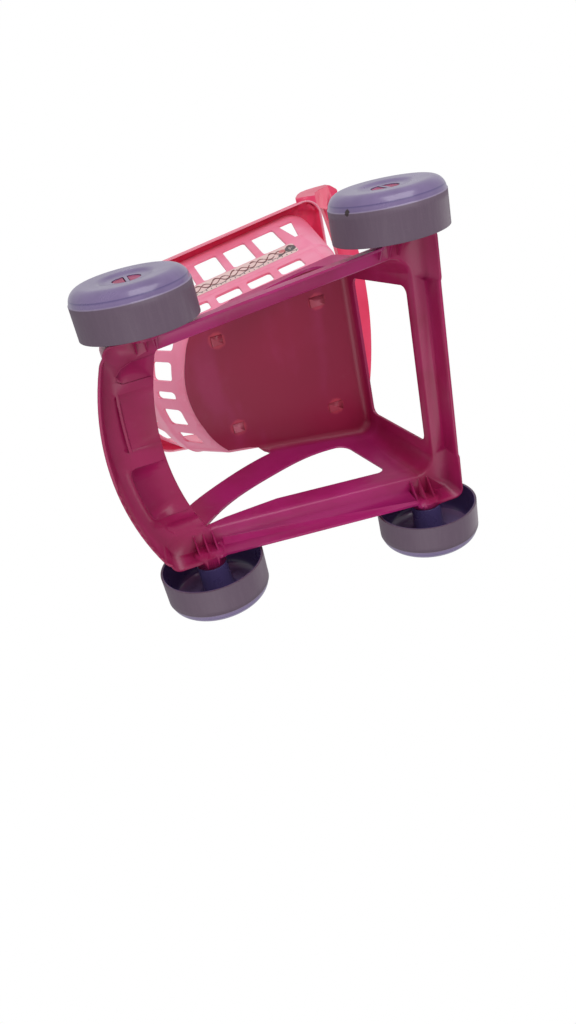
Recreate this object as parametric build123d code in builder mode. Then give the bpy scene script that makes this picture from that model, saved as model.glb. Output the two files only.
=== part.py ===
from build123d import *
import os

# Toy shopping trolley: a moulded stool-like chassis on four push-on wheels carries a
# slatted basket, held down by a rim frame that also forms the push handle.
# Frame: +X forward, +Y to the trolley's left, +Z up, floor at Z = 0, millimetres.

os.makedirs("parts", exist_ok=True)

# ---- driving dimensions ----
nose_ahead = 15.25        # axle midpoint lies this far ahead of the overall centre
wheelbase = 223.4
wheel_radius = 50.0
wheel_width = 39.0
front_wheel_y = 116.3     # inner rim plane of each front wheel, from the centre plane
rear_wheel_y = 132.8

chassis_wall = 2.4
skirt_z = 38.0            # lowest edge of the chassis
ledge_z = 62.5            # underside of the ledge between skirt and legs
plate_z = 182.0           # underside of the plate that carries the basket
plate_top_z = plate_z + chassis_wall

side_flare = 0.147        # plan taper of plate, basket and rim: narrower to the front
basket_wall = 2.2
step_z = 224.0            # ledge line round the basket, above the low windows
flange_z = 316.0          # underside of the rim flange
rim_top_z = 326.0
rim_reach = 9.0           # flange width outside the basket wall

stub_radius = 12.0
hub_clearance = 0.08      # radial, between stub axle and wheel hub
axle_z = wheel_radius


def level(height):
    """Horizontal plane with its origin above the axle midpoint."""
    return Plane((nose_ahead, 0, height))


side_view = Plane(origin=(nose_ahead, 0, 0), x_dir=(1, 0, 0), z_dir=(0, -1, 0))
end_view = Plane(origin=(nose_ahead, 0, 0), x_dir=(0, 1, 0), z_dir=(1, 0, 0))


def plan_outline(rear, corner, nose_x, rear_r, front_r):
    """Tapered plan: straight rear, straight sides, bowed front, rounded corners."""
    (rear_x, rear_y), (corner_x, corner_y) = rear, corner
    with BuildSketch(Plane.XY) as plan:
        with BuildLine():
            Polyline(
                (corner_x, corner_y), (rear_x, rear_y), (rear_x, -rear_y), (corner_x, -corner_y)
            )
            ThreePointArc((corner_x, -corner_y), (nose_x, 0), (corner_x, corner_y))
        make_face()
        fillet(plan.vertices().group_by(Axis.X)[0], radius=rear_r)
        fillet(plan.vertices().group_by(Axis.X)[-1], radius=front_r)
    return plan.sketch


def shell_between(low_z, low, high_z, high):
    """Closed tapered block between two plan outlines."""
    low_plan = plan_outline(*low)
    high_plan = plan_outline(*high)
    with BuildPart() as block:
        with BuildSketch(level(low_z)):
            add(low_plan)
        with BuildSketch(level(high_z)):
            add(high_plan)
        loft(ruled=True)
    return block.part


def prism(plan, low_z, high_z):
    """Upright block of one plan outline."""
    with BuildPart() as block:
        with BuildSketch(level(low_z)):
            add(plan)
        extrude(amount=high_z - low_z)
    return block.part


def sloped_prism(plan, low_z, rise):
    """Block of one plan outline whose flanks lean inwards."""
    with BuildPart() as block:
        with BuildSketch(level(low_z)):
            add(plan)
        extrude(amount=rise, taper=pad_slope)
    return block.part


def grown(plan, amount):
    """The same plan outline moved outwards by an amount."""
    (rear_x, rear_y), (corner_x, corner_y), nose_x, rear_r, front_r = plan
    return (
        (rear_x - amount, rear_y + amount),
        (corner_x + 0.5 * amount, corner_y + amount),
        nose_x + amount,
        rear_r + amount,
        front_r + amount,
    )


# ---- chassis ----
leg_foot = ((-131.0, 109.4), (142.0, 85.6), 150.0, 18.0, 22.0)      # room inside, at the ledge
leg_head = ((-112.0, 100.5), (100.0, 69.3), 112.0, 14.0, 14.0)      # room inside, at the plate
skirt_foot = ((-147.0, 129.8), (150.0, 103.1), 173.5, 14.0, 15.0)   # outside, lowest edge
skirt_head = ((-143.5, 125.5), (147.0, 99.5), 170.0, 14.0, 15.0)    # outside, ledge top
deck_hole = ((-131.0, 109.4), (105.0, 88.9), 123.0, 18.0, 6.0)
front_foot_x = (92.0, 149.0)
front_foot_y = 109.0
rear_foot_x = (-148.0, -97.0)
rear_foot_y = 131.5
foot_inner_y = 80.0
foot_corner = 9.0
rib_thickness = 1.3
rib_pitch = 9.0
pad_rise = 2.6            # embossed panels of the front deck stand this much higher
pad_slope = 45.0          # draft of the panel flanks, degrees
pad_corner = 6.0
skirt_chamfer = 1.5
ledge_chamfer = 2.0       # relief along the inner edge of ledge and deck
tab_spots = ((34.0, 48.5, 12.0), (-77.0, 58.7, 16.0))   # x, y, length of each floor tab


def foot_blocks(inset, low_z, high_z):
    """Four boxes that bulge the skirt outwards beside the wheels."""
    with BuildSketch(Plane.XY) as feet:
        for (x_rear, x_front), y_out in ((front_foot_x, front_foot_y), (rear_foot_x, rear_foot_y)):
            y_mid = (foot_inner_y + y_out) / 2
            with Locations(((x_rear + x_front) / 2, y_mid), ((x_rear + x_front) / 2, -y_mid)):
                RectangleRounded(
                    x_front - x_rear - 2 * inset, y_out - foot_inner_y - 2 * inset, foot_corner - inset
                )
    return prism(feet.sketch, low_z, high_z)


def front_pads(inset):
    """Plan of the two long and two corner panels of the front deck."""
    with BuildSketch(Plane.XY) as pads:
        for side in (1, -1):
            near, far = side * (7.0 + inset), side * (62.0 - inset)
            front_near, front_far = 157.0 - inset, 150.0 - inset
            with BuildLine():
                Line((100, near), (front_near, near))
                ThreePointArc(
                    (front_near, near), (front_near - 1.5, (near + far) / 2), (front_far, far)
                )
                Polyline((front_far, far), (100, far), (100, near))
            make_face()
        fillet(pads.vertices(), radius=pad_corner)
        for side in (1, -1):
            with BuildLine():
                Polyline(
                    (100, side * (87.0 - inset)),
                    (126 - inset, side * (86.2 - inset)),
                    (137 - inset, side * (82.5 - inset)),
                    (143 - inset, side * (77 - inset / 2)),
                    (144 - inset, side * (72 + inset / 2)),
                    (139 - inset, side * (69 + inset)),
                    (100, side * (69 + inset)),
                    close=True,
                )
            make_face()
    return pads.sketch


def leg_cavity():
    with BuildPart() as leg_room:
        add(shell_between(ledge_z - 0.1, leg_foot, plate_z, leg_head))
        fillet(leg_room.faces().sort_by(Axis.Z)[-1].edges(), radius=8.0)
    return leg_room.part


def skirt_and_deck():
    """Skirt, ledge and embossed front deck, open in the middle."""
    room = shell_between(
        skirt_z - 0.1, grown(skirt_foot, -chassis_wall), ledge_z, grown(skirt_head, -chassis_wall)
    )
    with BuildPart() as tray:
        add(shell_between(skirt_z, skirt_foot, ledge_z + chassis_wall, skirt_head))
        chamfer(tray.faces().sort_by(Axis.Z)[-1].edges(), length=skirt_chamfer)
        add(foot_blocks(0, skirt_z, ledge_z + chassis_wall))
        add(room, mode=Mode.SUBTRACT)
        add(foot_blocks(chassis_wall, skirt_z - 0.1, ledge_z), mode=Mode.SUBTRACT)
        add(sloped_prism(front_pads(-chassis_wall), ledge_z + chassis_wall - 0.1, pad_rise + 0.1))
        add(sloped_prism(front_pads(0), ledge_z, pad_rise), mode=Mode.SUBTRACT)
        add(prism(plan_outline(*deck_hole), skirt_z, ledge_z + 12), mode=Mode.SUBTRACT)
    return tray.part


def edge_relief():
    """Wedge that bevels the inner edge of ledge and deck from below."""
    drop = 0.5
    rise = ledge_chamfer + 1.0
    return shell_between(
        ledge_z - drop, grown(deck_hole, ledge_chamfer + drop), ledge_z + rise, grown(deck_hole, -1.0)
    )


def make_chassis():
    leg_room = leg_cavity()
    tray = skirt_and_deck()
    leg_shell = shell_between(
        ledge_z, grown(leg_foot, chassis_wall), plate_top_z, grown(leg_head, chassis_wall)
    )
    with BuildPart() as chassis:
        add(leg_shell)
        fillet(chassis.faces().sort_by(Axis.Z)[-1].edges(), radius=10.0)
        add(leg_room, mode=Mode.SUBTRACT)

        # low front opening over the deck, with big round lower corners
        with BuildSketch(end_view.offset(104)) :
            with Locations((0, ledge_z + chassis_wall + 60)):
                RectangleRounded(156, 120, 28)
        extrude(amount=60, mode=Mode.SUBTRACT)

        # arch: everything in front of the curved leg edge and below the plate
        with BuildSketch(side_view):
            with BuildLine():
                Polyline((60, plate_z - 2), (230, plate_z - 2), (230, 66), (143, 66))
                Spline((143, 66), (137, 80), (116, 104), (81, 130), (22, 166), (9, 172.5))
                Spline((9, 172.5), (9.5, 177.5), (16, 180), tangents=((-0.6, 0.8), (1, 0)))
                Line((16, 180), (60, plate_z - 2))
            make_face()
        extrude(amount=150, both=True, mode=Mode.SUBTRACT)

        # the plate narrows to a round-nosed tongue ahead of the arches
        with BuildSketch(level(plate_z - 6)):
            with BuildLine():
                Polyline((13, 84), (19, 77), (28, 74.2), (51, 70.5))
                ThreePointArc((51, 70.5), (61.5, 57), (70, 38))
                ThreePointArc((70, 38), (77.5, 0), (70, -38))
                ThreePointArc((70, -38), (61.5, -57), (51, -70.5))
                Polyline((51, -70.5), (28, -74.2), (19, -77), (13, -84))
                Polyline((13, -84), (13, -120), (150, -120), (150, 120), (13, 120), (13, 84))
            make_face()
        extrude(amount=20, mode=Mode.SUBTRACT)

        # side windows under the arches
        with BuildSketch(side_view):
            with BuildLine():
                Spline((106, 69), (72, 100), (17, 132), (-23, 151), (-72, 161))
                Polyline((-72, 161), (-90, 87), (30, 85), (85, 75), (106, 69))
            make_face()
            corners = vertices().sort_by(Axis.X)
            fillet(corners[0], radius=9.0)
            fillet(vertices().sort_by(Axis.Y)[-1], radius=14.0)
        extrude(amount=150, both=True, mode=Mode.SUBTRACT)

        # rear window
        with BuildSketch(end_view.offset(-160)):
            with BuildLine():
                Polyline((-79, 74), (79, 74), (75, 170), (-75, 170), close=True)
            make_face()
            fillet(vertices(), radius=8.0)
        extrude(amount=60, mode=Mode.SUBTRACT)

        add(tray)
        add(edge_relief(), mode=Mode.SUBTRACT)

        # gussets and stub axles
        for x_mid, wheel_y, y_out in (
            (wheelbase / 2, front_wheel_y, front_foot_y),
            (-wheelbase / 2, rear_wheel_y, rear_foot_y),
        ):
            y_ridge = leg_foot[0][1] - 0.087 * (x_mid - leg_foot[0][0])
            for side in (1, -1):
                for step in (-1, 0, 1):
                    rib_plane = Plane(
                        origin=(nose_ahead + x_mid + step * rib_pitch, 0, 0),
                        x_dir=(0, side, 0),
                        z_dir=(side, 0, 0),
                    )
                    with BuildSketch(rib_plane):
                        with BuildLine():
                            Polyline(
                                (y_ridge + 2.5, ledge_z + 1),
                                (y_out - 1, ledge_z + 1),
                                (y_out - 1, skirt_z + 6),
                                (y_ridge + 2.5, ledge_z - 2.5),
                                close=True,
                            )
                        make_face()
                    extrude(amount=rib_thickness / 2, both=True)
                stub_plane = Plane(
                    origin=(nose_ahead + x_mid, side * (y_out - 4), axle_z),
                    x_dir=(1, 0, 0),
                    z_dir=(0, side, 0),
                )
                stub_length = wheel_y + head_from - (y_out - 4)
                with BuildSketch(stub_plane):
                    Circle(stub_radius + 2)
                extrude(amount=wheel_y + hub_inset - 0.5 - (y_out - 4))
                with BuildSketch(stub_plane):
                    Circle(stub_radius)
                extrude(amount=stub_length)
                with BuildSketch(stub_plane.offset(stub_length)):
                    Circle(stub_radius + head_lip)
                extrude(amount=head_length, taper=8)

        # slots for the basket's floor tabs
        for x_tab, y_tab, length in tab_spots:
            with BuildSketch(level(plate_z - 1)):
                with Locations((x_tab, y_tab), (x_tab, -y_tab)):
                    Rectangle(length, 10)
            extrude(amount=chassis_wall + 2, mode=Mode.SUBTRACT)
    chassis.part.label = "chassis"
    export_step(chassis.part, "parts/chassis.step")


# ---- basket ----
basket_floor = ((-110.0, 82.0 + side_flare * 110), (54.0, 73.5), 80.5, 12.0, 12.0)
basket_step = ((-119.0, 90.7 + side_flare * 119), (84.0, 78.3), 109.0, 20.0, 16.0)
basket_brim = ((-131.0, 111.0 + side_flare * 131), (108.0, 95.1), 139.0, 30.0, 22.0)
column_pitch = 35.1
column_width = 26.8
column_front = 55.3       # front edge of the foremost full side window
low_row = (193.0, 213.5)
low_front_row = (196.0, 219.5)
high_row = (252.0, 304.0)
window_radius = 4.0
# middle and width of each window across the front and rear walls
low_front_windows = ((0.0, 9.0), (26.0, 20.0), (-26.0, 20.0), (53.5, 14.0), (-53.5, 14.0))
high_front_windows = ((0.0, 23.0), (33.5, 23.0), (-33.5, 23.0), (67.0, 23.0), (-67.0, 23.0))
rear_windows = ((0.0, 26.0), (36.5, 26.0), (-36.5, 26.0), (73.0, 26.0), (-73.0, 26.0))


def window_row(spots, row):
    """Rounded windows along a wall; each spot is a middle and a width."""
    with BuildSketch(Plane.XY) as windows:
        for middle, width in spots:
            with Locations((middle, (row[0] + row[1]) / 2)):
                RectangleRounded(width, row[1] - row[0], window_radius)
    return windows.sketch


def make_basket():
    low_room = shell_between(
        plate_top_z + basket_wall, grown(basket_floor, -2.2), step_z, grown(basket_step, -3.4)
    )
    high_room = shell_between(
        step_z, grown(basket_step, -2.2), rim_top_z - 2, grown(basket_brim, -2.2)
    )
    side_windows = [
        (column_front - column_width / 2 - n * column_pitch, column_width) for n in range(4)
    ]
    high_side = window_row(side_windows, high_row)
    low_side = window_row(side_windows, low_row)
    high_front = window_row(high_front_windows, high_row)
    low_front = window_row(low_front_windows, low_front_row)
    high_rear = window_row(rear_windows, high_row)
    with BuildPart() as basket:
        add(shell_between(plate_top_z, basket_floor, step_z - 1, grown(basket_step, -1.2)))
        add(shell_between(step_z - 1, basket_step, rim_top_z - 2, basket_brim))
        add(low_room, mode=Mode.SUBTRACT)
        add(high_room, mode=Mode.SUBTRACT)
        # side windows, both sides at once
        with BuildSketch(side_view):
            add(high_side)
            add(low_side)
            with BuildLine():
                Polyline((-84.5, 304), (-101, 304), (-94, 261), (-90, 261), close=True)
            make_face()
        extrude(amount=160, both=True, mode=Mode.SUBTRACT)
        with BuildSketch(end_view.offset(60)):
            add(high_front)
            add(low_front)
        extrude(amount=100, mode=Mode.SUBTRACT)
        with BuildSketch(end_view.offset(-160)):
            add(high_rear)
        extrude(amount=60, mode=Mode.SUBTRACT)
        for x_tab, y_tab, length in tab_spots:
            with BuildSketch(level(plate_z - 1.5)):
                with Locations((x_tab, y_tab), (x_tab, -y_tab)):
                    Rectangle(length - 0.6, 9.4)
            extrude(amount=chassis_wall + 2.5)
    basket.part.label = "basket"
    export_step(basket.part, "parts/basket.step")


# ---- rim frame with push handle ----
handle_top_z = 384.0
handle_depth = 13.0
rim_corner = 18.0
arm_side = (               # side outline of the arms that carry the hand bar
    (-116, 318), (-121, 337), (-130, 358), (-139, 373), (-150, 381), (-162, 384), (-192, 384),
    (-192, 378), (-173, 368), (-158, 355), (-146, 340), (-139, 318),
)
arm_plan = (
    (-100, 139.5), (-176, 139.5), (-188, 131), (-185, 123), (-168, 113), (-150, 121), (-128, 126.5),
    (-100, 127.5),
)
arm_round = 5.0


def rim_plan(reach):
    """Basket brim moved outwards by a reach, with tighter rear corners."""
    rear, corner, nose_x, _, front_r = grown(basket_brim, reach)
    return rear, corner, nose_x, rim_corner, front_r


def make_arm(side):
    """One arm from the rim's rear corner up to the hand bar."""
    with BuildPart() as arm:
        with BuildSketch(side_view):
            with BuildLine():
                Polyline(arm_side, close=True)
            make_face()
        extrude(amount=-side * 145)
        with BuildSketch(level(300)) as footprint:
            with BuildLine():
                Polyline([(x, side * y) for x, y in arm_plan], close=True)
            make_face()
            fillet(footprint.vertices(), radius=arm_round)
        extrude(amount=100, mode=Mode.INTERSECT)
    return arm.part


def make_rim_frame():
    flange_plan = rim_plan(rim_reach)
    lip_plan = rim_plan(rim_reach + 1.2)
    mouth_plan = plan_outline(*grown(basket_brim, -basket_wall))
    with BuildPart() as rim_frame:
        add(shell_between(flange_z - 4, lip_plan, rim_top_z, flange_plan))
        fillet(rim_frame.faces().sort_by(Axis.Z)[-1].edges(), radius=3.0)
        add(
            shell_between(
                flange_z - 4.1, grown(lip_plan, -2), rim_top_z - 2, grown(flange_plan, -2.4)
            ),
            mode=Mode.SUBTRACT,
        )
        add(prism(mouth_plan, rim_top_z - 4, rim_top_z + 6), mode=Mode.SUBTRACT)
        # the rear corners sweep up and back to the hand bar
        add(make_arm(1))
        add(make_arm(-1))
        # bowed hand bar
        with BuildSketch(level(handle_top_z - handle_depth)):
            with BuildLine():
                ThreePointArc((-187, 128), (-204, 0), (-187, -128))
                Line((-187, -128), (-162, -122))
                ThreePointArc((-162, -122), (-177, 0), (-162, 122))
                Line((-162, 122), (-187, 128))
            make_face()
        extrude(amount=handle_depth)
    rim_frame.part.label = "rim_frame"
    export_step(rim_frame.part, "parts/rim_frame.step")


# ---- wheels ----
tread_wall = 2.2
parting_w = 27.7          # from the inner rim plane to the step line on the tread
hub_radius = 14.6
hub_inset = 0.7           # hub tube starts this far inside the rim plane
head_from = 24.0          # where the stub's snap head starts, from the rim plane
head_length = 9.6
head_lip = 0.9
cap_floor = 31.0          # inner face of the wheel's outer disc
dish_radius = 23.0
dish_depth = 2.4
head_room = 34.4          # inner face of the web across the snap head
window_reach = 12.0       # outer radius of the two D windows round the axle
web_width = 2.8


def make_wheel(name, x_mid, wheel_y, side):
    """Cup-shaped wheel: tread wall, domed disc with two D windows, central hub tube."""
    turning = Plane(
        origin=(nose_ahead + x_mid, side * wheel_y, axle_z), x_dir=(1, 0, 0), z_dir=(0, 0, 1)
    )
    axle = Axis((nose_ahead + x_mid, side * wheel_y, axle_z), (0, 1, 0))

    def out(width):
        return side * width

    with BuildPart() as wheel:
        with BuildSketch(turning):
            with BuildLine():
                Polyline(
                    (wheel_radius - tread_wall, out(0)),
                    (wheel_radius, out(0)),
                    (wheel_radius - 0.3, out(parting_w)),
                    (wheel_radius - 0.9, out(parting_w)),
                )
                ThreePointArc(
                    (wheel_radius - 0.9, out(parting_w)),
                    (wheel_radius - 4.2, out(wheel_width - 3.8)),
                    (wheel_radius - 13.0, out(wheel_width)),
                )
                Polyline(
                    (wheel_radius - 13.0, out(wheel_width)),
                    (dish_radius, out(wheel_width - 0.4)),
                    (dish_radius - 4, out(wheel_width - dish_depth)),
                    (0, out(wheel_width - dish_depth)),
                    (0, out(head_room)),
                    (stub_radius + 1.6, out(head_room)),
                    (stub_radius + 1.6, out(head_from - 0.4)),
                    (stub_radius + hub_clearance, out(head_from - 0.4)),
                    (stub_radius + hub_clearance, out(hub_inset)),
                    (hub_radius, out(hub_inset)),
                    (hub_radius + 0.4, out(cap_floor)),
                    (wheel_radius - 16, out(wheel_width - 3.0)),
                )
                ThreePointArc(
                    (wheel_radius - 16, out(wheel_width - 3.0)),
                    (wheel_radius - 6.6, out(wheel_width - 6.2)),
                    (wheel_radius - tread_wall - 0.9, out(parting_w - 1)),
                )
                Line(
                    (wheel_radius - tread_wall - 0.9, out(parting_w - 1)),
                    (wheel_radius - tread_wall, out(0)),
                )
            make_face()
        revolve(axis=axle, revolution_arc=360)
        face_plane = Plane(
            origin=(nose_ahead + x_mid, side * (wheel_y + cap_floor - 2), axle_z),
            x_dir=(1, 0, 0),
            z_dir=(0, side, 0),
        )
        with BuildSketch(face_plane):
            Circle(window_reach)
            Rectangle(web_width, 2 * wheel_radius, mode=Mode.SUBTRACT)
        extrude(amount=wheel_width, mode=Mode.SUBTRACT)
    wheel.part.label = name
    export_step(wheel.part, f"parts/{name}.step")


make_chassis()
make_basket()
make_rim_frame()
for end, x_mid, wheel_y in (
    ("front", wheelbase / 2, front_wheel_y),
    ("rear", -wheelbase / 2, rear_wheel_y),
):
    for hand, side in (("left", 1), ("right", -1)):
        make_wheel(f"wheel_{end}_{hand}", x_mid, wheel_y, side)
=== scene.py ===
import math
import bpy
import bmesh
from mathutils import Matrix, Vector


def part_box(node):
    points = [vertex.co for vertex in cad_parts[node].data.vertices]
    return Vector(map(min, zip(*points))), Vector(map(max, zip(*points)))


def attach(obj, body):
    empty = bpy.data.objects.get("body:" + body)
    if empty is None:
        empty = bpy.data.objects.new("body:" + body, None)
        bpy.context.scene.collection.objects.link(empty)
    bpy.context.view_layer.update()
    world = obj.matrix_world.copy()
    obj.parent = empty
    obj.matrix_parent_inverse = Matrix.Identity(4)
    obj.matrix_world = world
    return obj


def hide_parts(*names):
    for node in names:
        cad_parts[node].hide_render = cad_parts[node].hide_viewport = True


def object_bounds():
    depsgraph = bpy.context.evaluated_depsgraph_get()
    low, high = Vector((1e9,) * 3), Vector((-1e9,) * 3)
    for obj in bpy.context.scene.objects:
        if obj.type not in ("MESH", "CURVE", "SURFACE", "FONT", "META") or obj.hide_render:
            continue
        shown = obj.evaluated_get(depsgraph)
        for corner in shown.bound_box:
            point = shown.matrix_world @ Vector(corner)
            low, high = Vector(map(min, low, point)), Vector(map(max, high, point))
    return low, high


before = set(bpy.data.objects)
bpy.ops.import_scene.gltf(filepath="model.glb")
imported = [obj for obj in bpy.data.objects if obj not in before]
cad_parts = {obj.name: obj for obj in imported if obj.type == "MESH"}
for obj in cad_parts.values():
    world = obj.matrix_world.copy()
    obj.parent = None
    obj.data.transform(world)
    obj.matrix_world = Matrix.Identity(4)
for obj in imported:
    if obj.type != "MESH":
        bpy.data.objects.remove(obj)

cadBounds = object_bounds()
scene = bpy.context.scene
print("frame loaded:", len(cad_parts), "parts")

# places that the pieces hang on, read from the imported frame
wheelNodes = ("wheel_front_left", "wheel_front_right", "wheel_rear_left", "wheel_rear_right")
wheelBoxes = {name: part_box(name) for name in wheelNodes}
hubs = {name: (low + high) / 2 for name, (low, high) in wheelBoxes.items()}
axleMiddleX = (hubs["wheel_front_left"].x + hubs["wheel_rear_left"].x) / 2


# an output socket that can be reckoned with like a number
class Wire:
    def __init__(self, board, socket):
        self.board = board
        self.socket = socket

    def maths(self, operation, first, second=None):
        return self.board.add("ShaderNodeMath", {"operation": operation}, {0: first, 1: second})

    def __add__(self, other):
        return self.maths("ADD", self, other)

    def __radd__(self, other):
        return self.maths("ADD", other, self)

    def __sub__(self, other):
        return self.maths("SUBTRACT", self, other)

    def __rsub__(self, other):
        return self.maths("SUBTRACT", other, self)

    def __mul__(self, other):
        return self.maths("MULTIPLY", self, other)

    def __rmul__(self, other):
        return self.maths("MULTIPLY", other, self)

    def __truediv__(self, other):
        return self.maths("DIVIDE", self, other)

    def __pow__(self, other):
        return self.maths("POWER", self, other)

    def __abs__(self):
        return self.maths("ABSOLUTE", self)

    def sine(self):
        return self.maths("SINE", self)

    def fraction(self):
        return self.maths("FRACT", self)

    def at(self, output):
        # another output of the node that this wire leaves
        return Wire(self.board, self.socket.node.outputs[output])


plasticSheen = 0.4


# one material with short calls for the nodes the plastics need
class MaterialBoard:
    def __init__(self, name):
        self.material = bpy.data.materials.new(name)
        self.material.use_nodes = True
        self.tree = self.material.node_tree
        self.shader = self.tree.nodes["Principled BSDF"]
        self.place = self.add("ShaderNodeTexCoord", {}, {}, "Object")
        self.x = self.add("ShaderNodeSeparateXYZ", {}, {0: self.place}, "X")
        self.y = self.x.at("Y")
        self.z = self.x.at("Z")

    def feed(self, socket, value):
        if isinstance(value, Wire):
            self.tree.links.new(value.socket, socket)
        elif value is not None:
            socket.default_value = value

    def add(self, kind, settings, sockets, output=0):
        node = self.tree.nodes.new(kind)
        for key, value in settings.items():
            setattr(node, key, value)
        for key, value in sockets.items():
            self.feed(node.inputs[key], value)
        return Wire(self, node.outputs[output])

    def noise(self, scale, detail=3.0, rough=0.55, place=None):
        sockets = {"Vector": place or self.place, "Scale": scale}
        sockets.update({"Detail": detail, "Roughness": rough})
        return self.add("ShaderNodeTexNoise", {}, sockets)

    def ramp(self, value, low, high, start=0.0, end=1.0):
        settings = {"interpolation_type": "SMOOTHSTEP"}
        sockets = {"Value": value, "From Min": low, "From Max": high}
        sockets.update({"To Min": start, "To Max": end})
        return self.add("ShaderNodeMapRange", settings, sockets)

    def mixed(self, factor, first, second):
        return self.add("ShaderNodeMix", {"data_type": "RGBA"}, {0: factor, 6: first, 7: second}, 2)

    def stretched(self, scale, rotation=(0.0, 0.0, 0.0), place=None):
        sockets = {"Vector": place or self.place, "Rotation": rotation, "Scale": scale}
        return self.add("ShaderNodeMapping", {}, sockets)

    def vector(self, x, y, z):
        return self.add("ShaderNodeCombineXYZ", {}, {0: x, 1: y, 2: z})

    def distanceTo(self, point):
        sockets = {0: self.place, 1: point}
        return self.add("ShaderNodeVectorMath", {"operation": "DISTANCE"}, sockets, "Value")

    def finish(self, colour, roughness, height, bumpDepth, coat=0.0, coatRough=0.2, edge=0.0006):
        self.feed(self.shader.inputs["Base Color"], colour)
        self.feed(self.shader.inputs["Roughness"], roughness)
        self.feed(self.shader.inputs["Coat Weight"], coat)
        self.shader.inputs["Coat Roughness"].default_value = coatRough
        self.shader.inputs["Specular IOR Level"].default_value = plasticSheen
        rounded = self.add("ShaderNodeBevel", {"samples": 4}, {"Radius": edge})
        sockets = {"Strength": 1.0, "Distance": bumpDepth, "Height": height, "Normal": rounded}
        self.feed(self.shader.inputs["Normal"], self.add("ShaderNodeBump", {}, sockets))
        return self.material


def rgba(red, green, blue):
    return (red, green, blue, 1.0)


# wear shared by every moulded plastic
plasticWear = {
    "cloudScale": 16.0,
    "cloudRange": (0.38, 0.72),
    "cloudShine": 0.14,
    "flowStretch": (22.0, 9.0, 70.0),
    "flowRange": (0.5, 0.78),
    "flowAmount": 0.35,
    "dustScale": 95.0,
    "dustRange": (0.52, 0.74),
    "dustColour": rgba(0.42, 0.30, 0.31),
    "dustAmount": 0.05,
    "dustDulls": 1.6,
    "patchScale": 7.0,
    "patchRange": (0.42, 0.66),
    "scratchLines": (         # turn of the lines, stretch across them
        ((0.5, 0.3, 0.5), (40.0, 900.0, 60.0)),
        ((-0.7, 0.3, -0.7), (900.0, 60.0, 45.0)),
    ),
    "scratchRange": (0.70, 0.76),
    "scratchAmount": 0.08,
    "scratchDulls": 0.12,
    "peelScale": 620.0,
    "grainDepth": 0.00005,
    "coatRoughness": 0.18,
}


def mouldedPlastic(board, colour, deep, pale, roughness, coat=0.25, edge=0.0008):
    # cloudy pigment, faint flow lines, dust in patches, fine crossed scratches
    wear = plasticWear
    cloud = board.noise(wear["cloudScale"], 4.0)
    flow = board.noise(1.0, 3.0, place=board.stretched(wear["flowStretch"]))
    mottled = board.mixed(board.ramp(cloud, *wear["cloudRange"]), colour, deep)
    flowMask = board.ramp(flow, *wear["flowRange"]) * wear["flowAmount"]
    mottled = board.mixed(flowMask, mottled, pale)
    dust = board.ramp(board.noise(wear["dustScale"], 8.0, 0.7), *wear["dustRange"])
    patch = board.ramp(board.noise(wear["patchScale"], 2.0), *wear["patchRange"])
    grime = dust * patch * wear["dustAmount"]
    mottled = board.mixed(grime, mottled, wear["dustColour"])
    scratches = 0.0
    for turn, stretch in wear["scratchLines"]:
        lines = board.noise(1.0, 2.0, place=board.stretched(stretch, turn))
        scratches = board.ramp(lines, *wear["scratchRange"]) + scratches
    mottled = board.mixed(scratches * wear["scratchAmount"], mottled, pale)
    peel = board.noise(wear["peelScale"], 2.0)
    height = peel * 0.5 + flow * 0.5 - scratches * 0.3 + dust * 0.2
    shine = cloud * wear["cloudShine"] + (roughness - wear["cloudShine"] / 2)
    shine = shine + grime * wear["dustDulls"] + scratches * wear["scratchDulls"]
    depth = wear["grainDepth"]
    return board.finish(mottled, shine, height, depth, coat, wear["coatRoughness"], edge)


chassisLook = {
    "colour": rgba(0.36, 0.010, 0.092),
    "deep": rgba(0.29, 0.007, 0.060),
    "pale": rgba(0.46, 0.035, 0.16),
    # painted sheen: a lighter, bluer tint on the two sides for the key light falling on them
    "sideSheenTint": rgba(0.42, 0.014, 0.150),
    "sideSheenDeep": rgba(0.35, 0.011, 0.108),
    # painted shade under the plate, and a painted glow round its floor tabs
    "plateShade": rgba(0.29, 0.006, 0.046),
    "glow": rgba(0.56, 0.050, 0.090),
    "glowAmount": 0.8,
    "glowEdge": (0.0085, 0.0125),
    "sideFrom": (0.065, 0.090),      # off the centre plane
    "sideFront": (0.085, 0.118),     # ahead of the axle middle
    "sideRear": (-0.118, -0.095),
    "roughness": 0.36,
    "coat": 0.10,
}
basketLook = {
    "colour": rgba(0.93, 0.27, 0.41),
    "deep": rgba(0.88, 0.20, 0.32),
    "pale": rgba(0.96, 0.38, 0.52),
    "tabShade": rgba(0.40, 0.040, 0.075),
    "roughness": 0.36,
}
rimLook = {
    "colour": rgba(0.86, 0.050, 0.150),
    "deep": rgba(0.76, 0.032, 0.105),
    "pale": rgba(0.92, 0.20, 0.30),
    "lipGlare": rgba(0.93, 0.36, 0.46),
    "roughness": 0.33,
}
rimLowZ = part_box("rim_frame")[0].z
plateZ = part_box("basket")[0].z + 0.0015       # underside of the plate
tabGlowSpots = ((0.034, 0.0485), (-0.077, 0.0587))  # ahead of the axle middle, off the centre plane


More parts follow.
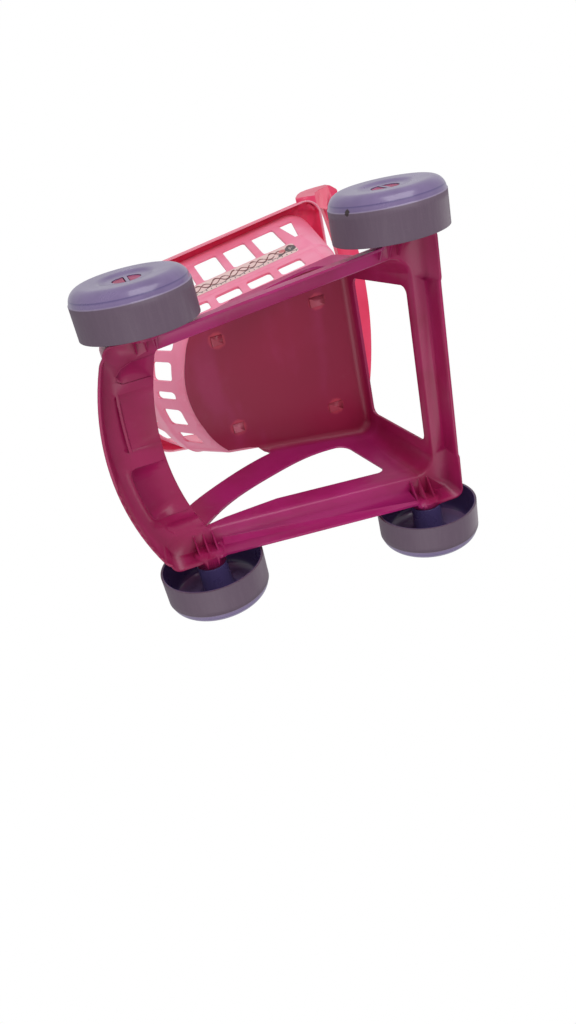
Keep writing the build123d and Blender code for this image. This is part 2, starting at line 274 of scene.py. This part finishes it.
def chassisPlastic():
    board = MaterialBoard("chassisPlastic")
    look = chassisLook
    # painted shade under the plate, redder as for light through the thin plastic, with a painted
    # glow round the floor tabs
    onShadedPlate = board.ramp(board.z, plateZ - 0.010, plateZ - 0.001)
    # painted sheen: the two sides are painted pinker and bluer than the front deck and the rear
    # rail, standing in for the key light on them
    ahead = board.x - axleMiddleX
    onSheenSide = board.ramp(abs(board.y), *look["sideFrom"])
    onSheenSide = onSheenSide * board.ramp(ahead, *look["sideFront"], 1.0, 0.0)
    onSheenSide = onSheenSide * board.ramp(ahead, *look["sideRear"])
    colour = board.mixed(onSheenSide, look["colour"], look["sideSheenTint"])
    deep = board.mixed(onSheenSide, look["deep"], look["sideSheenDeep"])
    colour = board.mixed(onShadedPlate, colour, look["plateShade"])
    deep = board.mixed(onShadedPlate, deep, look["plateShade"])
    # painted glow round each floor tab, standing for light through the thin plate
    for spotAhead, off in tabGlowSpots:
        dx = board.x - (axleMiddleX + spotAhead)
        dy = abs(board.y) - off
        reach = (dx * dx + dy * dy) ** 0.5 + board.noise(160.0, 2.0) * 0.004
        spot = board.ramp(reach, *look["glowEdge"], 1.0, 0.0) * onShadedPlate * look["glowAmount"]
        colour = board.mixed(spot, colour, look["glow"])
        deep = board.mixed(spot, deep, look["glow"])
    return mouldedPlastic(board, colour, deep, look["pale"], look["roughness"], look["coat"])


def basketPlastic():
    board = MaterialBoard("basketPlastic")
    look = basketLook
    # painted shade: the basket's tabs below the plate are painted dark
    underPlateShade = board.ramp(board.z, plateZ + 0.0012, plateZ + 0.0022, 1.0, 0.0)
    colour = board.mixed(underPlateShade, look["colour"], look["tabShade"])
    deep = board.mixed(underPlateShade, look["deep"], look["tabShade"])
    return mouldedPlastic(board, colour, deep, look["pale"], look["roughness"])


def rimPlastic():
    board = MaterialBoard("rimPlastic")
    look = rimLook
    # painted highlight: the lower edge of the turned-down lip is painted paler, standing for glare
    onLipGlare = board.ramp(board.z, rimLowZ + 0.0012, rimLowZ + 0.0024, 1.0, 0.0)
    colour = board.mixed(onLipGlare, look["colour"], look["lipGlare"])
    deep = board.mixed(onLipGlare, look["deep"], look["lipGlare"])
    return mouldedPlastic(board, colour, deep, look["pale"], look["roughness"], edge=0.0010)


# wheels: glossy cap, scuffed matt tread, painted shade in the hollow inside, painted highlight
# along the cap step
wheelLook = {
    "cap": rgba(0.212, 0.155, 0.300),
    "capDeep": rgba(0.170, 0.120, 0.248),
    "tread": rgba(0.122, 0.080, 0.116),
    "treadWorn": rgba(0.165, 0.112, 0.152),
    "inside": rgba(0.085, 0.060, 0.180),
    "stepHighlight": rgba(0.36, 0.29, 0.42),
    "scuff": rgba(0.035, 0.018, 0.020),
    "radius": 0.050,
    "parting": 0.0277,        # from the rim plane to the step between tread and cap
    "stepHighlightHalf": (0.0002, 0.0007),
    "innerWall": (0.0022, 0.0014),   # inside the tread surface
    "innerEnd": (0.0318, 0.0326),
    "acrossStretch": (330.0, 34.0, 1.0),
    "aroundStretch": (60.0, 900.0, 1.0),
    "scuffEdge": 0.0009,
    "grainDepth": 0.00006,
    "roughness": 0.24,
    "treadDulls": 0.30,
    "coat": 0.5,
    "treadCoatLoss": 0.42,
    "coatRoughness": 0.12,
    "edge": 0.0007,
}
scuffOffset = Vector((0.0447, 0.0090, -0.0223))     # from the hub
scuffSpots = {"wheel_rear_left": (hubs["wheel_rear_left"] + scuffOffset, 0.0036)}


def wheelPlastic(node):
    look = wheelLook
    board = MaterialBoard(node + "Plastic")
    hub = hubs[node]
    low, high = wheelBoxes[node]
    rimPlane = low.y if hub.y > 0 else high.y
    side = 1.0 if hub.y > 0 else -1.0
    dx = board.x - hub.x
    dz = board.z - hub.z
    radius = (dx * dx + dz * dz) ** 0.5
    turn = dx.maths("ARCTAN2", dz, dx)
    outward = (board.y - rimPlane) * side
    wrapped = board.vector(turn * 0.05, outward, radius)

    cloud = board.noise(30.0, 4.0)
    cap = board.mixed(board.ramp(cloud, 0.35, 0.7), look["cap"], look["capDeep"])
    # the tread is rubbed across its width and gathers pale dust
    across = board.noise(1.0, 6.0, 0.6, board.stretched(look["acrossStretch"], place=wrapped))
    around = board.noise(1.0, 3.0, 0.6, board.stretched(look["aroundStretch"], place=wrapped))
    speckle = board.ramp(board.noise(420.0, 6.0, 0.7), 0.56, 0.68)
    worn = board.ramp(across, 0.40, 0.75) * 0.28 + board.ramp(around, 0.60, 0.76) * 0.25
    worn = worn + speckle * 0.2
    tread = board.mixed(worn, look["tread"], look["treadWorn"])
    onTread = board.ramp(outward, look["parting"] - 0.0004, look["parting"] + 0.0004, 1.0, 0.0)
    colour = board.mixed(onTread, cap, tread)
    # painted highlight: a pale band along the step between tread and cap
    stepHighlightBand = board.ramp(abs(outward - look["parting"]), *look["stepHighlightHalf"], 1.0, 0.0)
    colour = board.mixed(stepHighlightBand * 0.55, colour, look["stepHighlight"])
    # painted shade: the wall inside the tread, in the wheel's hollow, is painted dark
    deepest, shallowest = look["innerWall"]
    insideWall = board.ramp(radius, look["radius"] - deepest, look["radius"] - shallowest, 1.0, 0.0)
    inside = insideWall * board.ramp(outward, *look["innerEnd"], 1.0, 0.0)
    colour = board.mixed(inside, colour, look["inside"])
    if node in scuffSpots:
        spot, size = scuffSpots[node]
        ragged = board.distanceTo(spot) + board.noise(330.0, 3.0) * 0.003
        onScuff = board.ramp(ragged, size, size + look["scuffEdge"], 1.0, 0.0)
        colour = board.mixed(onScuff, colour, look["scuff"])
    peel = board.noise(plasticWear["peelScale"], 2.0)
    height = peel * (0.25 + onTread * 0.8) + across * onTread * 0.7 + around * onTread * 0.5
    shine = look["roughness"] + cloud * 0.08 + speckle * 0.06
    shine = shine + onTread * (1.0 - inside) * look["treadDulls"]
    coat = look["coat"] - onTread * look["treadCoatLoss"]
    depth = look["grainDepth"]
    return board.finish(colour, shine, height, depth, coat, look["coatRoughness"], look["edge"])


# the CAD shapes are merged and shaded smooth
shadeAngle = 28.0
mergeDistance = 1e-6
moverBodies = {"chassis": "trolley", "basket": "trolley", "rim_frame": "trolley"}


def shadedCopy(node, material):
    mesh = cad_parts[node].data.copy()
    form = bmesh.new()
    form.from_mesh(mesh)
    bmesh.ops.remove_doubles(form, verts=form.verts, dist=mergeDistance)
    bmesh.ops.dissolve_degenerate(form, edges=form.edges, dist=mergeDistance / 10)
    form.to_mesh(mesh)
    form.free()
    mesh.materials.clear()
    mesh.materials.append(material)
    mesh.polygons.foreach_set("use_smooth", [True] * len(mesh.polygons))
    mesh.set_sharp_from_angle(angle=math.radians(shadeAngle))
    piece = bpy.data.objects.new(node + "_moulding", mesh)
    scene.collection.objects.link(piece)
    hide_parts(node)
    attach(piece, moverBodies.get(node, node))     # a wheel's body has the wheel's name


chassisShade = chassisPlastic()
shadedCopy("chassis", chassisShade)
shadedCopy("basket", basketPlastic())
shadedCopy("rim_frame", rimPlastic())
for wheelNode in wheelNodes:
    shadedCopy(wheelNode, wheelPlastic(wheelNode))
print("mouldings shaded")


# magenta axle fingers seen through the two D windows of each wheel cap
fingerSpec = {
    "radius": 0.0115,
    "gap": 0.0019,            # half the bar between the windows, with room
    "fromRimPlane": (0.0345, 0.0361),
    "round": 0.0005,
    "sharpTurn": 0.6,         # radians between faces, above which an edge is rounded
    "shadeAngle": 40.0,
}


def makeFingers(node):
    spec = fingerSpec
    low, high = wheelBoxes[node]
    side = 1.0 if hubs[node].y > 0 else -1.0
    rimPlane = low.y if side > 0 else high.y
    inner, outer = spec["fromRimPlane"]
    both = bmesh.new()
    for hand in (1.0, -1.0):
        form = bmesh.new()
        bmesh.ops.create_cone(
            form, cap_ends=True, segments=48, radius1=spec["radius"], radius2=spec["radius"],
            depth=outer - inner,
        )
        cut = bmesh.ops.bisect_plane(
            form, geom=form.verts[:] + form.edges[:] + form.faces[:], dist=mergeDistance / 10,
            plane_co=(hand * spec["gap"], 0, 0), plane_no=(hand, 0, 0), clear_inner=True,
        )
        cutEdges = [e for e in cut["geom_cut"] if isinstance(e, bmesh.types.BMEdge)]
        bmesh.ops.holes_fill(form, edges=cutEdges)
        sharp = [e for e in form.edges if e.calc_face_angle(0.0) > spec["sharpTurn"]]
        bmesh.ops.bevel(
            form, geom=sharp, offset=spec["round"], segments=3, offset_type="OFFSET",
            profile=0.5, affect="EDGES", material=-1,
        )
        half = bpy.data.meshes.new("fingerHalf")
        form.to_mesh(half)
        form.free()
        both.from_mesh(half)
        bpy.data.meshes.remove(half)
    middleY = rimPlane + side * (inner + outer) / 2
    upright = Matrix.Rotation(math.pi / 2, 3, "X")
    bmesh.ops.rotate(both, verts=both.verts, cent=(0, 0, 0), matrix=upright)
    bmesh.ops.translate(both, verts=both.verts, vec=(hubs[node].x, middleY, hubs[node].z))
    bmesh.ops.recalc_face_normals(both, faces=both.faces)
    name = "axle_fingers_" + node.replace("wheel_", "")
    mesh = bpy.data.meshes.new(name)
    both.to_mesh(mesh)
    both.free()
    mesh.materials.append(chassisShade)
    mesh.polygons.foreach_set("use_smooth", [True] * len(mesh.polygons))
    mesh.set_sharp_from_angle(angle=math.radians(spec["shadeAngle"]))
    piece = bpy.data.objects.new(name, mesh)
    scene.collection.objects.link(piece)
    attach(piece, node)


for wheelNode in wheelNodes:
    makeFingers(wheelNode)
print("axle fingers placed")


# stickers on the basket sides: plain ornament, no lettering
stickerSpec = {
    "rearX": -0.082,          # ahead of the axle middle
    "frontX": 0.048,
    "lowZ": 0.2262,
    "highZ": 0.2505,
    "corner": 0.004,
    "thickness": 0.00018,
    "lift": 0.00012,
    "paper": rgba(0.80, 0.55, 0.52),
    "ink": rgba(0.16, 0.010, 0.018),
    "grey": rgba(0.10, 0.085, 0.085),
    "blush": rgba(0.62, 0.16, 0.17),
    "faded": rgba(0.86, 0.66, 0.60),
    "ribbons": (              # lag along the sticker, ink, swing, middle height, half width
        (0.0, "ink", 0.25, 0.60, 0.075),
        (2.4, "ink", 0.20, 0.56, 0.055),
        (4.1, "grey", 0.07, 0.26, 0.035),
    ),
    "ribbonBeat": 38.0,
    "dotCount": 24.0,
    "dotHeight": 0.13,
    "spots": (                # place along, height, radius, ink
        (0.045, 0.55, 0.30, "grey"),
        (0.115, 0.62, 0.17, "blush"),
        (0.150, 0.30, 0.12, "grey"),
    ),
    "shape": 5.6,             # length over height
}
stepLine = {"z": 0.223, "y": 0.0907, "taper": 0.147, "lean": 0.0203 / 0.101}


def wallY(x, z):
    # outer face of the basket's upper side wall; x is taken from the axle middle
    return stepLine["y"] - stepLine["taper"] * x + stepLine["lean"] * (z - stepLine["z"])


def stickerPaper():
    spec = stickerSpec
    board = MaterialBoard("stickerPaper")
    along = (board.x - (axleMiddleX + spec["rearX"])) / (spec["frontX"] - spec["rearX"])
    up = (board.z - spec["lowZ"]) / (spec["highZ"] - spec["lowZ"])
    fade = board.ramp(board.noise(60.0, 5.0), 0.35, 0.75)
    colour = board.mixed(fade * 0.5, spec["paper"], spec["faded"])
    # a braid of two ribbons over a thin line, a row of small dots, round spots at the rear end
    broken = board.ramp(board.noise(240.0, 4.0), 0.34, 0.42)
    beat = along * spec["ribbonBeat"]
    for lag, ink, swing, ribbonHeight, half in spec["ribbons"]:
        wave = (beat + lag).sine() * swing + ribbonHeight
        ribbon = board.ramp(abs(up - wave), half * 0.7, half, 1.0, 0.0)
        colour = board.mixed(ribbon * broken, colour, spec[ink])
    low = (along * spec["dotCount"]).fraction() - 0.5
    rise = up - spec["dotHeight"]
    dots = board.ramp((low * low * 0.45 + rise * rise) ** 0.5, 0.050, 0.080, 1.0, 0.0)
    colour = board.mixed(dots * broken, colour, spec["grey"])
    for spotX, spotUp, size, ink in spec["spots"]:
        dx = (along - spotX) * spec["shape"]
        dy = up - spotUp
        spot = board.ramp((dx * dx + dy * dy) ** 0.5, size * 0.8, size, 1.0, 0.0)
        colour = board.mixed(spot * broken, colour, spec[ink])
    height = board.noise(380.0, 4.0)
    return board.finish(colour, 0.42 + fade * 0.12, height, 0.00003, 0.2, 0.25, 0.0001)


def makeSticker(name, side, material):
    spec = stickerSpec
    form = bmesh.new()
    bmesh.ops.create_grid(form, x_segments=24, y_segments=4, size=0.5)
    corners = [v for v in form.verts if min(abs(v.co.x), abs(v.co.y)) > 0.5 - mergeDistance]
    length = spec["frontX"] - spec["rearX"]
    height = spec["highZ"] - spec["lowZ"]
    for vert in form.verts:
        x = spec["rearX"] + (vert.co.x + 0.5) * length
        z = spec["lowZ"] + (vert.co.y + 0.5) * height
        vert.co = Vector((axleMiddleX + x, side * (wallY(x, z) + spec["lift"]), z))
    bmesh.ops.bevel(
        form, geom=corners, offset=spec["corner"], offset_type="OFFSET", segments=4,
        profile=0.5, affect="VERTICES", material=-1,
    )
    bmesh.ops.recalc_face_normals(form, faces=form.faces)
    if sum(face.normal.y for face in form.faces) * side < 0:
        bmesh.ops.reverse_faces(form, faces=form.faces)
    bmesh.ops.solidify(form, geom=form.faces[:], thickness=-spec["thickness"])
    mesh = bpy.data.meshes.new(name)
    form.to_mesh(mesh)
    form.free()
    mesh.materials.append(material)
    piece = bpy.data.objects.new(name, mesh)
    scene.collection.objects.link(piece)
    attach(piece, "trolley")


paper = stickerPaper()
makeSticker("sticker_left", 1.0, paper)
makeSticker("sticker_right", -1.0, paper)
print("stickers placed")


# clips that hold the rim down, one under each rear corner, each beside a dark block that is painted
# shade in its slot
clipSpec = {
    "x": -0.1318,             # ahead of the axle middle
    "y": 0.1290,
    "z": 0.3195,
    "size": (0.011, 0.0036, 0.0055),
    "slot": (0.0125, 0.0014, 0.0050),
    "slotShift": (-0.0020, 0.0020, 0.0004),      # from the clip, outwards on either side
    "round": 0.0008,
    "fullDepth": 0.0030,      # thinner blocks get a smaller rounding
    "turn": 45.0,
    "shadeAngle": 35.0,
    "slotShadeDark": rgba(0.035, 0.006, 0.012),
    "slotShadeLight": rgba(0.07, 0.010, 0.022),
}


def roundedBlock(name, size, place, turn, material):
    form = bmesh.new()
    bmesh.ops.create_cube(form, size=1.0)
    bmesh.ops.scale(form, verts=form.verts, vec=size)
    rounding = clipSpec["round"] * min(1.0, size[1] / clipSpec["fullDepth"])
    bmesh.ops.bevel(
        form, geom=form.edges[:], offset=rounding, segments=3, offset_type="OFFSET",
        profile=0.5, affect="EDGES", material=-1,
    )
    aboutZ = Matrix.Rotation(turn, 3, "Z")
    bmesh.ops.rotate(form, verts=form.verts, cent=(0, 0, 0), matrix=aboutZ)
    bmesh.ops.translate(form, verts=form.verts, vec=place)
    mesh = bpy.data.meshes.new(name)
    form.to_mesh(mesh)
    form.free()
    mesh.materials.append(material)
    mesh.polygons.foreach_set("use_smooth", [True] * len(mesh.polygons))
    mesh.set_sharp_from_angle(angle=math.radians(clipSpec["shadeAngle"]))
    piece = bpy.data.objects.new(name, mesh)
    scene.collection.objects.link(piece)
    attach(piece, "trolley")


# painted shade: dark material for the block that stands for the shade in each slot
def slotShadePaint():
    board = MaterialBoard("slotShadePaint")
    tone = board.ramp(board.noise(400.0, 3.0), 0.3, 0.7)
    colour = board.mixed(tone, clipSpec["slotShadeDark"], clipSpec["slotShadeLight"])
    return board.finish(colour, 0.6 + tone * 0.1, tone, 0.00002)


clipPlastic = rimPlastic()
gapShade = slotShadePaint()
for hand, side in (("left", 1.0), ("right", -1.0)):
    clipPlace = Vector((axleMiddleX + clipSpec["x"], side * clipSpec["y"], clipSpec["z"]))
    clipTurn = side * math.radians(clipSpec["turn"])
    roundedBlock("rim_clip_" + hand, clipSpec["size"], clipPlace, clipTurn, clipPlastic)
    behind, outwards, above = clipSpec["slotShift"]
    slotPlace = clipPlace + Vector((behind, side * outwards, above))
    roundedBlock("rim_slot_shade_" + hand, clipSpec["slot"], slotPlace, clipTurn, gapShade)
print("clips placed")


# pale floor seen from above only, soft lights, camera
stageSpec = {
    "floorSize": 14.0,
    "floorColour": rgba(0.92, 0.92, 0.92),
    "floorDrop": 0.0004,      # just below the wheels, so the two don't fight
    "backdrop": rgba(1.0, 1.0, 1.0),
    "fade": (0.55, 1.9),      # the floor runs out into the backdrop between these distances
    "ambient": 0.60,
    "ambientTint": rgba(0.96, 0.97, 1.0),
}


def makeFloor():
    form = bmesh.new()
    bmesh.ops.create_grid(form, x_segments=8, y_segments=8, size=stageSpec["floorSize"] / 2)
    bmesh.ops.translate(form, verts=form.verts, vec=(0.0, 0.0, -stageSpec["floorDrop"]))
    mesh = bpy.data.meshes.new("floor")
    form.to_mesh(mesh)
    form.free()
    board = MaterialBoard("floorPaint")
    board.feed(board.shader.inputs["Base Color"], stageSpec["floorColour"])
    board.shader.inputs["Roughness"].default_value = 0.9
    output = board.tree.nodes["Material Output"]
    clear = board.add("ShaderNodeBsdfTransparent", {}, {})
    back = board.add("ShaderNodeNewGeometry", {}, {}, "Backfacing")
    solid = Wire(board, board.shader.outputs[0])
    away = (board.x * board.x + board.y * board.y) ** 0.5
    glow = {"Color": stageSpec["backdrop"], "Strength": 1.0}
    glowing = board.add("ShaderNodeEmission", {}, glow)
    far = board.ramp(away, *stageSpec["fade"])
    solid = board.add("ShaderNodeMixShader", {}, {0: far, 1: solid, 2: glowing})
    oneSided = board.add("ShaderNodeMixShader", {}, {0: back, 1: solid, 2: clear})
    board.feed(output.inputs["Surface"], oneSided)
    mesh.materials.append(board.material)
    floor = bpy.data.objects.new("floor", mesh)
    scene.collection.objects.link(floor)
    floor.visible_shadow = False
    floor.visible_diffuse = False
    floor.visible_glossy = False
    floor.visible_transmission = False


def makeWorld():
    world = bpy.data.worlds.new("studio")
    scene.world = world
    world.use_nodes = True
    tree = world.node_tree
    tree.nodes.clear()
    path = tree.nodes.new("ShaderNodeLightPath")
    seen = tree.nodes.new("ShaderNodeBackground")
    seen.inputs["Color"].default_value = stageSpec["backdrop"]
    seen.inputs["Strength"].default_value = 1.0
    lit = tree.nodes.new("ShaderNodeBackground")
    lit.inputs["Color"].default_value = stageSpec["ambientTint"]
    lit.inputs["Strength"].default_value = stageSpec["ambient"]
    mix = tree.nodes.new("ShaderNodeMixShader")
    output = tree.nodes.new("ShaderNodeOutputWorld")
    tree.links.new(path.outputs["Is Camera Ray"], mix.inputs[0])
    tree.links.new(lit.outputs[0], mix.inputs[1])
    tree.links.new(seen.outputs[0], mix.inputs[2])
    tree.links.new(mix.outputs[0], output.inputs[0])


middle = (Vector(cadBounds[0]) + Vector(cadBounds[1])) / 2
softBoxes = (
    # name, offset from the object's middle, size, watts, tint, seen in gloss
    ("keyBox", (-0.25, 1.25, -0.75), 1.0, 9.5, (0.98, 0.97, 1.0), True),
    ("topBox", (0.3, 0.4, 1.6), 1.4, 14.0, (1.0, 1.0, 1.0), False),
    ("rearFill", (-1.5, -0.6, 0.3), 1.2, 7.0, (1.0, 0.97, 0.96), True),
    ("underFill", (0.6, -0.7, -1.3), 1.2, 6.5, (1.0, 0.96, 0.97), True),
)


def makeLights():
    for name, offset, size, watts, tint, inGloss in softBoxes:
        lamp = bpy.data.lights.new(name, "AREA")
        lamp.shape = "SQUARE"
        lamp.size = size
        lamp.energy = watts
        lamp.color = tint
        holder = bpy.data.objects.new(name, lamp)
        scene.collection.objects.link(holder)
        holder.location = middle + Vector(offset)
        holder.rotation_euler = (-Vector(offset)).to_track_quat("-Z", "Y").to_euler()
        holder.visible_camera = False
        holder.visible_glossy = inGloss


# the trolley lies tipped towards the lens, seen from below
cameraSpec = {
    "place": (0.152230, 0.262843, -0.572780),   # from the axle middle
    "right": (-0.93368828, -0.19847293, -0.29805151),
    "down": (0.31527315, -0.85029707, -0.42142346),
    "ahead": (-0.16979118, -0.48744578, 0.85648559),
    "lens": 26.808,
}


def makeCamera():
    lens = bpy.data.cameras.new("studioCamera")
    lens.lens = cameraSpec["lens"]
    lens.sensor_width = 36.0
    lens.sensor_fit = "AUTO"
    lens.clip_start = 0.01
    holder = bpy.data.objects.new("studioCamera", lens)
    scene.collection.objects.link(holder)
    right = Vector(cameraSpec["right"])
    up = -Vector(cameraSpec["down"])
    back = -Vector(cameraSpec["ahead"])
    turn = Matrix((right, up, back)).transposed().to_4x4()
    place = Vector(cameraSpec["place"]) + Vector((axleMiddleX, 0.0, 0.0))
    holder.matrix_world = Matrix.Translation(place) @ turn
    scene.camera = holder


makeFloor()
makeWorld()
makeLights()
makeCamera()
scene.view_settings.view_transform = "Standard"
print("stage, lights and camera set")
